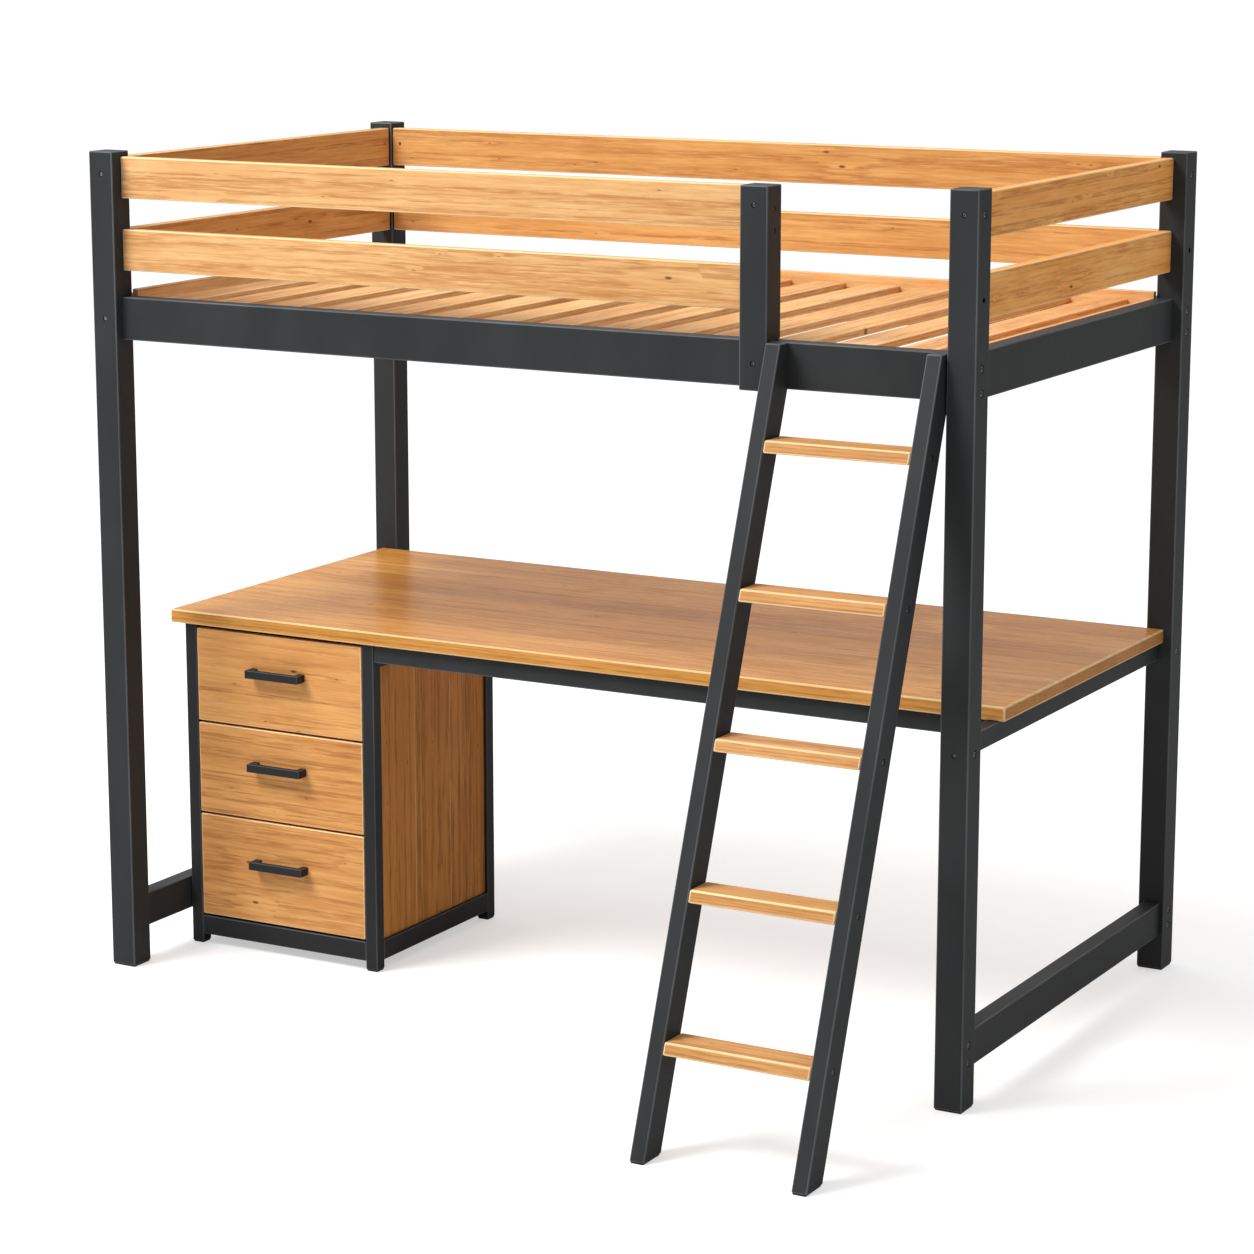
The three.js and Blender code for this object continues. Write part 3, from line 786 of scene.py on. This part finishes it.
# the rear one is a tall liner with a low ledger in front of it
rear_low, rear_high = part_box("slat_ledger_rear")
liner_low = Vector((rear_low.x, rear_high.y - LINER_THICK, rear_low.z))
wooden_board(
    "rear_liner", liner_low, rear_high, X, -Y, PINE, arris=FINE_ARRIS, stands_for=["slat_ledger_rear"]
)
front_low, front_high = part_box("slat_ledger_front")
ledger_low = Vector((front_low.x, rear_low.y, front_low.z))
ledger_high = Vector((front_high.x, liner_low.y - SEAM, front_high.z))
wooden_board("rear_ledger", ledger_low, ledger_high, X, Y, HONEY, arris=FINE_ARRIS)

# ---- guard post, lapped over the front rail ----
LAP_BOLTS = (GUARD_BOLT, 1.446)
GUARD_END_SCREWS = (1.744, 1.702)
post_low, post_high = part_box("guard_post")
rail_low, rail_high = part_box("side_rail_front")
lap = rail_low.y - SEAM
shoulder = rail_high.z + SEAM
shape = new_shape()
lapped = [
    (post_low.y, post_low.z),
    (lap, post_low.z),
    (lap, shoulder),
    (post_high.y, shoulder),
    (post_high.y, post_high.z),
    (post_low.y, post_high.z),
]
round_over(shape, add_bar(shape, lapped, post_low.x, post_high.x), BOARD_ARRIS)
post_middle = (post_low + post_high) / 2
front_points = [Vector((post_middle.x, post_low.y, z)) for z in LAP_BOLTS]
side_points = [Vector((post_high.x, post_middle.y, z)) for z in GUARD_END_SCREWS]
drill(shape, -Y, front_points, SMALL_BORE, BORE_DEPTH)
drill(shape, X, side_points, SMALL_BORE, BORE_DEPTH)
piece("entry_guard_post", shape, "bed", FRAME_PAINT, ["guard_post"])
guard_post_bolts = [(p, -Y) for p in front_points] + [(p, X) for p in side_points]
set_many("entry_guard_post_bolts", SMALL_BOLT, guard_post_bolts, BLACK_BOLT, sunk=BORE_DEPTH)

# ---- ladder ----
STRINGER_DEPTH = 0.068
TREADS = 5
toe_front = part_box("ladder_stringer_left")[0].y
rail_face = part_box("ladder_stringer_left")[1].y
lean = (rail_face - toe_front - STRINGER_DEPTH) / rail_low.z
treads = [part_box(f"ladder_tread_{i}") for i in range(1, TREADS + 1)]


def ladder_front(height):
    """Where the leaning front of the ladder stands at a height."""
    return toe_front + lean * height


def stringer(end_name, outward):
    """One side of the ladder: toe cut level, head cut plumb, a bolt at the end of each tread."""
    node = f"ladder_stringer_{end_name}"
    low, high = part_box(node)
    profile = [
        (ladder_front(GLIDE), GLIDE),
        (ladder_front(GLIDE) + STRINGER_DEPTH, GLIDE),
        (rail_face, rail_low.z),
        (rail_face, rail_high.z),
        (ladder_front(rail_high.z), rail_high.z),
    ]
    shape = new_shape()
    round_over(shape, add_bar(shape, profile, low.x, high.x), BOARD_ARRIS)
    outer = low.x if end_name == "left" else high.x
    heights = [(tread_low.z + tread_high.z) / 2 for tread_low, tread_high in treads]
    bolts = [Vector((outer, ladder_front(z) + STRINGER_DEPTH / 2, z)) for z in heights]
    drill(shape, outward, bolts, SIDE_BORE, BORE_DEPTH)
    piece(f"{end_name}_stringer", shape, "bed", FRAME_PAINT, [node])
    places = [(p, outward) for p in bolts]
    set_many(f"{end_name}_stringer_bolts", SIDE_BOLT, places, BLACK_BOLT, sunk=BORE_DEPTH)
    pad_low = Vector((low.x + GLIDE_INSET, ladder_front(0) + GLIDE_INSET, 0))
    pad_high = Vector((high.x - GLIDE_INSET, ladder_front(0) + STRINGER_DEPTH - GLIDE_INSET, GLIDE))
    glide(f"{end_name}_stringer_glide", pad_low, pad_high)


def tread(number, low, high):
    """A step whose front and back edges follow the lean of the ladder."""
    profile = [
        (ladder_front(low.z), low.z),
        (ladder_front(low.z) + STRINGER_DEPTH, low.z),
        (ladder_front(high.z) + STRINGER_DEPTH, high.z),
        (ladder_front(high.z), high.z),
    ]
    shape = new_shape()
    round_over(shape, add_bar(shape, profile, low.x, high.x), TREAD_ARRIS)
    mark_ends(shape, X)
    material = wood(f"tread_{number}_wood", CLEAR, X, Z, (low + high) / 2, next(numbers))
    piece(f"tread_{number}", shape, "bed", material, [f"ladder_tread_{number}"])


stringer("left", -X)
stringer("right", X)
for i, (low, high) in enumerate(treads):
    tread(i + 1, low, high)

# ---- desk top, glued from staves ----
DESK_STAVE = 0.145
board_for("desk_top", "writing_top", X, Z, OILED, slot="desk_wood", arris=DESK_ARRIS, stave=DESK_STAVE)

# ---- pedestal cage: square tube, butted and welded ----
TUBE = 0.03
TUBE_CORNER = 0.0022
THIN_CORNER = 0.0008
BASE_BOTTOM, BASE_TOP = 0.022, 0.066
SIDE_TOP_RAIL = 0.055
BACK_TOP_RAIL = 0.03
FRONT_BAR_DEPTH = 0.0117
FRONT_BAR_HEIGHT = 0.024
PLUG = 0.003
PLUG_INSET = 0.0018

cage_low, cage_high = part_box("pedestal_frame")
leg_x = {"left": (cage_low.x, cage_low.x + TUBE), "right": (cage_high.x - TUBE, cage_high.x)}
leg_y = {"front": (cage_low.y, cage_low.y + TUBE), "rear": (cage_high.y - TUBE, cage_high.y)}
inside_x = (leg_x["left"][1], leg_x["right"][0])
inside_y = (leg_y["front"][1], leg_y["rear"][0])


def cage_piece(name, lengths, stands_for=()):
    """Steel lengths in one piece, each given by its reach in x, y and z and its corner radius."""
    shape = new_shape()
    for x, y, z, corner in lengths:
        low, high = Vector((x[0], y[0], z[0])), Vector((x[1], y[1], z[1]))
        round_over(shape, add_block(shape, low, high), corner)
    piece(name, shape, "bed", STEEL_PAINT, stands_for)


legs, plugs = [], new_shape()
for x in leg_x.values():
    for y in leg_y.values():
        legs.append((x, y, (PLUG, cage_high.z), TUBE_CORNER))
        plug_low = Vector((x[0] + PLUG_INSET, y[0] + PLUG_INSET, 0))
        plug_high = Vector((x[1] - PLUG_INSET, y[1] - PLUG_INSET, PLUG))
        add_pad(plugs, plug_low, plug_high)
cage_piece("cage_legs", legs, ["pedestal_frame"])
piece("cage_leg_plugs", plugs, "bed", PAD_RUBBER)

base_z = (BASE_BOTTOM, BASE_TOP)
side_top_z = (cage_high.z - SIDE_TOP_RAIL, cage_high.z)
back_top_z = (cage_high.z - BACK_TOP_RAIL, cage_high.z)
bar_y = (inside_y[0] - FRONT_BAR_DEPTH, inside_y[0])
bar_z = (cage_high.z - FRONT_BAR_HEIGHT, cage_high.z)
rails = []
for x in leg_x.values():
    rails.append((x, inside_y, base_z, TUBE_CORNER))
    rails.append((x, inside_y, side_top_z, TUBE_CORNER))
for y in leg_y.values():
    rails.append((inside_x, y, base_z, TUBE_CORNER))
rails.append((inside_x, leg_y["rear"], back_top_z, TUBE_CORNER))
rails.append((inside_x, bar_y, bar_z, THIN_CORNER))
cage_piece("cage_rails", rails)

# ---- runners: an angle under each side of each drawer, let into the legs a little ----
DRAWERS = ("bottom", "middle", "top")
RUNNER_WIDTH, RUNNER_THICK, RUNNER_WEB = 0.018, 0.003, 0.028
RUNNER_BITE = 0.0015
RUNNER_SETBACK = 0.0183
RUN_GAP = 0.0005
run = (cage_low.y + RUNNER_SETBACK, inside_y[1] + TUBE / 2)
left, right = inside_x
runners = []
for drawer in DRAWERS:
    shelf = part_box(f"drawer_{drawer}_box")[0].z - RUN_GAP
    shelf_z = (shelf - RUNNER_THICK, shelf)
    web_z = (shelf - RUNNER_THICK, shelf - RUNNER_THICK + RUNNER_WEB)
    for wide, z in ((RUNNER_WIDTH, shelf_z), (RUNNER_THICK, web_z)):
        runners.append(((left - RUNNER_BITE, left + wide), run, z, THIN_CORNER))
    for wide, z in ((RUNNER_WIDTH, shelf_z), (RUNNER_THICK, web_z)):
        runners.append(((right - wide, right + RUNNER_BITE), run, z, THIN_CORNER))
cage_piece("drawer_runners", runners)

# ---- weld beads in the corners under the base rails and the side top rails ----
BEAD = 0.0016
BEAD_STEP = 0.0024
BEAD_MARGIN = 0.003
bead_shape = bmesh.new()
bmesh.ops.create_icosphere(bead_shape, subdivisions=1, radius=BEAD)
for face in bead_shape.faces:
    face.smooth = True
bead_mesh = mesh_of("weld_bead", bead_shape)
beads = []
for i in range(int((TUBE - 2 * BEAD_MARGIN) / BEAD_STEP)):
    step = BEAD_MARGIN + (i + 0.5) * BEAD_STEP
    for y in leg_y.values():
        for x in inside_x:
            beads.append((Vector((x, y[0] + step, BASE_BOTTOM)), Z))
    for x in leg_x.values():
        for y in inside_y:
            beads.append((Vector((x[0] + step, y, BASE_BOTTOM)), Z))
            beads.append((Vector((x[0] + step, y, cage_high.z - SIDE_TOP_RAIL)), Z))
set_many("cage_welds", bead_mesh, beads, STEEL_PAINT)

# ---- pedestal side panels, each of three planks; the first stands for the CAD panel ----
PLANKS = 3
for end_name, face in (("left", -X), ("right", X)):
    node = f"pedestal_panel_{end_name}"
    low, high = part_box(node)
    wide = (high.y - low.y) / PLANKS
    for i in range(PLANKS):
        plank_low = Vector((low.x, low.y + i * wide, low.z))
        plank_high = Vector((high.x, low.y + (i + 1) * wide, high.z))
        wooden_board(
            f"{end_name}_panel_plank_{i + 1}", plank_low, plank_high, Z, face, UMBER,
            slot="panel_wood", arris=PANEL_ARRIS, stands_for=[node] if i == 0 else (),
        )

# ---- drawers ----
BOX_WALL = 0.012
BOX_FLOOR = 0.006
FINGERS = 7
HANDLE_FOOT = 0.015
HANDLE_BAR = 0.013
HANDLE_ARRIS = 0.0011
SCREW_ROOM = 0.006
SWAP_X_AND_Y = Matrix(((0, 1, 0, 0), (1, 0, 0, 0), (0, 0, 1, 0), (0, 0, 0, 1)))


def finger_profile(near, far, bottom, top, full_first):
    """The outline of a box wall whose two ends are cut into fingers as deep as the wall is thick."""
    step = (top - bottom) / FINGERS
    near_side, far_side = [], []
    for i in range(FINGERS):
        cut = 0 if (i % 2 == 0) == full_first else BOX_WALL
        for z in (bottom + i * step, bottom + (i + 1) * step):
            near_side.append((near + cut, z))
            far_side.append((far - cut, z))
    return near_side[::-1] + far_side


def box_wall(name, body, near, far, bottom, top, start, across, stands_for=()):
    """A fingered plywood wall, BOX_WALL thick; across says that it runs along X and not along Y."""
    shape = new_shape()
    edges = add_bar(shape, finger_profile(near, far, bottom, top, not across), start, start + BOX_WALL)
    if across:
        bmesh.ops.transform(shape, matrix=SWAP_X_AND_Y, verts=shape.verts[:])
        bmesh.ops.recalc_face_normals(shape, faces=shape.faces[:])
    round_over(shape, edges, PLY_ARRIS, 1)
    middle_run, middle_thick = (near + far) / 2, start + BOX_WALL / 2
    middle = Vector((middle_run, middle_thick, 0)) if across else Vector((middle_thick, middle_run, 0))
    grain, face = (X, Y) if across else (Y, X)
    material = wood(name + "_ply", BIRCH, grain, face, middle, next(numbers), plies=True)
    piece(name, shape, body, material, stands_for)


def drawer_box(drawer, body):
    """Four finger-jointed walls, the left one standing for the CAD box, and a floor let in between."""
    node = f"drawer_{drawer}_box"
    low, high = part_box(node)
    for start, end_name in ((low.x, "left"), (high.x - BOX_WALL, "right")):
        name = f"{drawer}_drawer_{end_name}_wall"
        stands_for = [node] if end_name == "left" else ()
        box_wall(name, body, low.y, high.y, low.z, high.z, start, False, stands_for)
    for start, depth_name in ((low.y, "front"), (high.y - BOX_WALL, "rear")):
        name = f"{drawer}_drawer_{depth_name}_wall"
        box_wall(name, body, low.x, high.x, low.z, high.z, start, True)
    sheet_low = Vector((low.x + BOX_WALL, low.y + BOX_WALL, low.z + BOX_FLOOR))
    sheet_high = Vector((high.x - BOX_WALL, high.y - BOX_WALL, low.z + 2 * BOX_FLOOR))
    wooden_board(
        f"{drawer}_drawer_floor", sheet_low, sheet_high, Y, Z, BIRCH,
        slot="box_wood", body=body, arris=PLY_ARRIS,
    )


def drawer_pull(drawer, body):
    """A square bar with a foot at each end that reaches back to the drawer front."""
    node = f"drawer_{drawer}_handle"
    low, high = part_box(node)
    shape = new_shape()
    bar_high = Vector((high.x, low.y + HANDLE_BAR, high.z))
    add_block(shape, low, bar_high)
    for cut in (low.x + HANDLE_FOOT, high.x - HANDLE_FOOT):
        everything = shape.verts[:] + shape.edges[:] + shape.faces[:]
        bmesh.ops.bisect_plane(shape, geom=everything, plane_co=(cut, 0, 0), plane_no=X)
    centre = (low.x + high.x) / 2
    back = [face for face in shape.faces if face.normal.y > SQUARE_ON]
    feet = [face for face in back if abs(face.calc_center_median().x - centre) > HANDLE_FOOT]
    for face in bmesh.ops.extrude_discrete_faces(shape, faces=feet)["faces"]:
        bmesh.ops.translate(shape, verts=list(face.verts), vec=(0, high.y - bar_high.y, 0))
    bmesh.ops.remove_doubles(shape, verts=shape.verts[:], dist=1e-6)
    bmesh.ops.recalc_face_normals(shape, faces=shape.faces[:])
    sharp = [edge for edge in shape.edges if edge.calc_face_angle(0) > CREASE]
    round_over(shape, sharp, HANDLE_ARRIS)
    piece(f"{drawer}_drawer_pull", shape, body, STEEL_PAINT, [node])


def pull_screws(drawer, body):
    """The pull's two screws, on the inside of the box's front wall where it is high enough."""
    pull_low, pull_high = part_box(f"drawer_{drawer}_handle")
    box_low, box_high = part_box(f"drawer_{drawer}_box")
    height = (pull_low.z + pull_high.z) / 2
    if height < box_high.z - SCREW_ROOM:
        ends = (pull_low.x + HANDLE_FOOT / 2, pull_high.x - HANDLE_FOOT / 2)
        screws = [(Vector((x, box_low.y + BOX_WALL, height)), Y) for x in ends]
        set_many(f"{drawer}_pull_screws", SCREW, screws, ZINC_BOLT, body=body)


for drawer in DRAWERS:
    body = f"drawer_{drawer}"
    # the fronts take TAN, whose deeper tone is painted shade from the bed above
    board_for(f"drawer_{drawer}_front", f"{drawer}_drawer_front", X, -Y, TAN, body=body, arris=DRAWER_ARRIS)
    drawer_box(drawer, body)
    drawer_pull(drawer, body)
    pull_screws(drawer, body)

# ---- stage ----
FLOOR_REACH = 40
FLOOR_DROP = 0.0004
FLOOR_GREY = (0.62, 0.62, 0.62, 1)
FLOOR_ROUGH, FLOOR_SHEEN = 0.9, 0.1
WHITE = (1, 1, 1, 1)
# light that the floor and the air add to what the camera sees of them, and the floor's own
FLOOR_SEEN, FLOOR_OWN = 0.44, 0.05
AIR_SEEN = 1.02
AIR_OWN = 0.1

floor_shape = bmesh.new()
bmesh.ops.create_grid(floor_shape, x_segments=1, y_segments=1, size=FLOOR_REACH)
floor_mesh = mesh_of("floor", floor_shape)
floor = bpy.data.objects.new("floor", floor_mesh)
floor_mesh.transform(Matrix.Translation((0, 0, -FLOOR_DROP)))
scene.collection.objects.link(floor)
floor_material, floor_recipe, floor_shader = new_material("studio_floor")
floor_shader.inputs["Base Color"].default_value = FLOOR_GREY
floor_shader.inputs["Roughness"].default_value = FLOOR_ROUGH
floor_shader.inputs["Specular IOR Level"].default_value = FLOOR_SHEEN
floor_shader.inputs["Emission Color"].default_value = WHITE
floor_seen = floor_recipe.add("LightPath").outputs["Is Camera Ray"]
floor_light = floor_recipe.math("MULTIPLY_ADD", floor_seen, FLOOR_SEEN, FLOOR_OWN)
floor_recipe.feed(floor_shader.inputs["Emission Strength"], floor_light)
floor_mesh.materials.append(floor_material)

world = bpy.data.worlds.new("studio")
world.use_nodes = True
scene.world = world
air = Recipe(world.node_tree)
background = world.node_tree.nodes["Background"]
towards = air.add("TexCoord").outputs["Generated"]


def glow_from(direction, low, high, strength):
    """Light out of one part of the air, strongest straight along the direction."""
    along = air.add("VectorMath", {0: towards, 1: direction}, operation="DOT_PRODUCT").outputs["Value"]
    return air.spread(along, low, high, 0.0, strength)


overhead = glow_from((0, 0, 1), 0.0, 1.0, 0.9)
behind = glow_from((-0.47, 0.88, 0.05), 0.3, 1.0, 0.35)
from_left = glow_from((-1, 0, 0.1), 0.0, 1.0, 0.25)
glow = air.math("ADD", air.math("ADD", overhead, behind), air.math("ADD", from_left, AIR_OWN))
seen = air.add("LightPath").outputs["Is Camera Ray"]
strength = air.math("MAXIMUM", glow, air.math("MULTIPLY", seen, AIR_SEEN))
air.feed(background.inputs["Strength"], strength)
background.inputs["Color"].default_value = WHITE

KEY_PLACE = Vector((-3.2, -4.2, 7.0))
KEY_AIM = Vector((0, 0, 0.9))
KEY_SIZE = 3.6
KEY_POWER = 625
key = bpy.data.objects.new("key_light", bpy.data.lights.new("key_light", "AREA"))
key.data.shape = "DISK"
key.data.size = KEY_SIZE
key.data.energy = KEY_POWER
key.location = KEY_PLACE
key.rotation_euler = (KEY_PLACE - KEY_AIM).to_track_quat("Z", "Y").to_euler()
key.visible_camera = False
scene.collection.objects.link(key)
